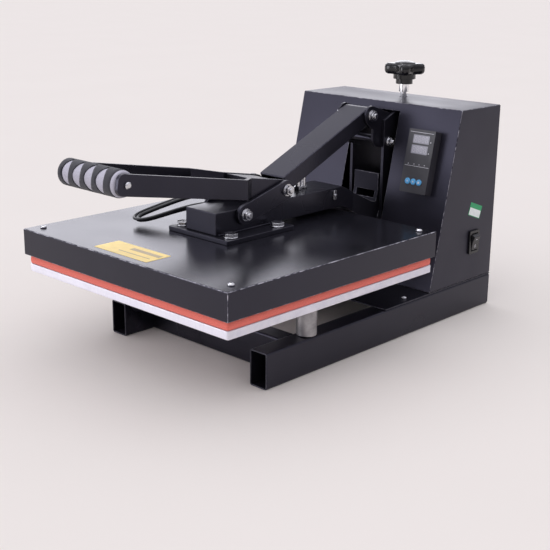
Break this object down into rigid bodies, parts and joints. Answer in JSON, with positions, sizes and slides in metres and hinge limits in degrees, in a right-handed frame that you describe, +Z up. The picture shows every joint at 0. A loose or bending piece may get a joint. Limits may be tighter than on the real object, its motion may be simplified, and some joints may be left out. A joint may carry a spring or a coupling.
{
  "type": "heat press",
  "caption": "Flat clamshell heat press: a toggle handle lifts a heated platen off a padded lower platen, with a pressure knob, controller and power switch on a rear housing.",
  "frame": {"origin": "centre of the footprint on the bench surface", "axes": "+X to the operator's right, +Y from the operator towards the rear housing, +Z up"},
  "size_m": [0.41, 0.6694, 0.38],
  "materials": {
    "black_paint": "gloss black powder coat",
    "housing_paint": "satin black powder coat",
    "machined_aluminium": "fine milled",
    "zinc_steel": "zinc plated",
    "chrome": "polished",
    "silicone": "matte salmon silicone sponge",
    "fibre": "matte fibre blanket",
    "grip_foam": "matte foam",
    "black_plastic": "gloss",
    "panel_plastic": "fine grain",
    "button_blue": "satin",
    "lead_jacket": "satin"
  },
  "bodies": {
    "frame": {"base_tube_right": "black_paint", "base_tube_left": "black_paint", "front_cross_member": "black_paint", "floor_sheet": "black_paint", "rear_platen_bridge": "black_paint", "platen_post_right": "machined_aluminium", "platen_post_left": "machined_aluminium", "lower_platen": "machined_aluminium", "silicone_pad": "silicone", "frame_plate_right": "black_paint", "frame_plate_left": "black_paint", "rod_bridge": "black_paint", "platen_hinge_shaft": "zinc_steel", "yoke_pivot_bolt": "zinc_steel", "handle_pivot_bolt": "zinc_steel", "housing_shell": "housing_paint", "rear_cover": "housing_paint", "power_inlet": "black_plastic", "solid_state_relay": "panel_plastic", "terminal_block": "panel_plastic", "controller_case": "black_plastic", "controller_bezel": "panel_plastic", "switch_frame": "black_plastic"},
    "platen": {"platen_cover": "black_paint", "heating_plate": "machined_aluminium", "insulation_blanket": "fibre", "mounting_plate": "black_paint", "mounting_bolt_left_front": "zinc_steel", "mounting_bolt_left_rear": "zinc_steel", "mounting_bolt_right_front": "zinc_steel", "mounting_bolt_right_rear": "zinc_steel", "lift_beam": "black_paint", "hinge_arm": "black_paint", "stop_bolt_front": "zinc_steel", "stop_bolt_rear": "zinc_steel", "lead_gland": "black_plastic", "heater_lead": "lead_jacket"},
    "link": {"link_plate_right": "black_paint", "link_plate_left": "black_paint", "link_pivot_bolt": "zinc_steel", "toggle_bolt_right": "zinc_steel", "toggle_bolt_left": "zinc_steel"},
    "handle": {"handle_bar_right": "black_paint", "handle_bar_left": "black_paint", "handle_tie_plate": "black_paint", "toggle_axle": "zinc_steel", "toggle_tube": "black_paint", "grip_core": "zinc_steel", "grip_foam": "grip_foam", "grip_bolt": "zinc_steel"},
    "yoke": {"pressure_yoke": "black_paint", "yoke_spacer_bar": "black_paint"},
    "knob": {"pressure_knob": "black_plastic", "rod_collar": "chrome", "pressure_rod": "chrome"},
    "nut": {"pressure_nut": "zinc_steel"},
    "rocker": {"switch_rocker": "black_plastic"},
    "button_left": {"controller_button_left": "button_blue"},
    "button_middle": {"controller_button_middle": "button_blue"},
    "button_right": {"controller_button_right": "button_blue"}
  },
  "joints": [
    {"name": "handle_hinge", "type": "hinge", "parent": "frame", "child": "handle", "pos_m": [0, 0.17875, 0.3055], "axis": [-1, 0, 0], "range_deg": [0, 73.85]},
    {"name": "platen_hinge", "type": "hinge", "parent": "frame", "child": "platen", "pos_m": [0, 0.22075, 0.141], "axis": [-1, 0, 0], "range_deg": [0, 40.05]},
    {"name": "link_hinge", "type": "hinge", "parent": "platen", "child": "link", "pos_m": [0, -0.09825, 0.1975], "axis": [1, 0, 0], "range_deg": [0, 94.4]},
    {"name": "knob_turn", "type": "hinge", "parent": "frame", "child": "knob", "pos_m": [0, 0.29475, 0.3224], "axis": [0, 0, 1], "range_deg": [-540, 540]},
    {"name": "nut_slide", "type": "slide", "parent": "frame", "child": "nut", "axis": [0, 0, 1], "range_m": [-0.00226, 0.00226]},
    {"name": "yoke_tilt", "type": "hinge", "parent": "frame", "child": "yoke", "pos_m": [0, 0.21875, 0.262], "axis": [1, 0, 0], "range_deg": [-1.71, 1.71]},
    {"name": "power_rocker", "type": "hinge", "parent": "frame", "child": "rocker", "pos_m": [0.157, 0.27975, 0.1135], "axis": [0, -1, 0], "range_deg": [0, 26]},
    {"name": "button_left_press", "type": "slide", "parent": "frame", "child": "button_left", "axis": [0, 0.976, -0.2178], "range_m": [0, 0.001], "stiffness_N_per_m": 400},
    {"name": "button_middle_press", "type": "slide", "parent": "frame", "child": "button_middle", "axis": [0, 0.976, -0.2178], "range_m": [0, 0.001], "stiffness_N_per_m": 400},
    {"name": "button_right_press", "type": "slide", "parent": "frame", "child": "button_right", "axis": [0, 0.976, -0.2178], "range_m": [0, 0.001], "stiffness_N_per_m": 400}
  ],
  "couplings": [
    {"joint": "platen_hinge", "follows": "handle_hinge", "ratio": 0.54164},
    {"joint": "link_hinge", "follows": "handle_hinge", "ratio": 1.276},
    {"joint": "nut_slide", "follows": "knob_turn", "m_per_rad": -0.00023873},
    {"joint": "yoke_tilt", "follows": "knob_turn", "ratio": -0.0031412}
  ]
}
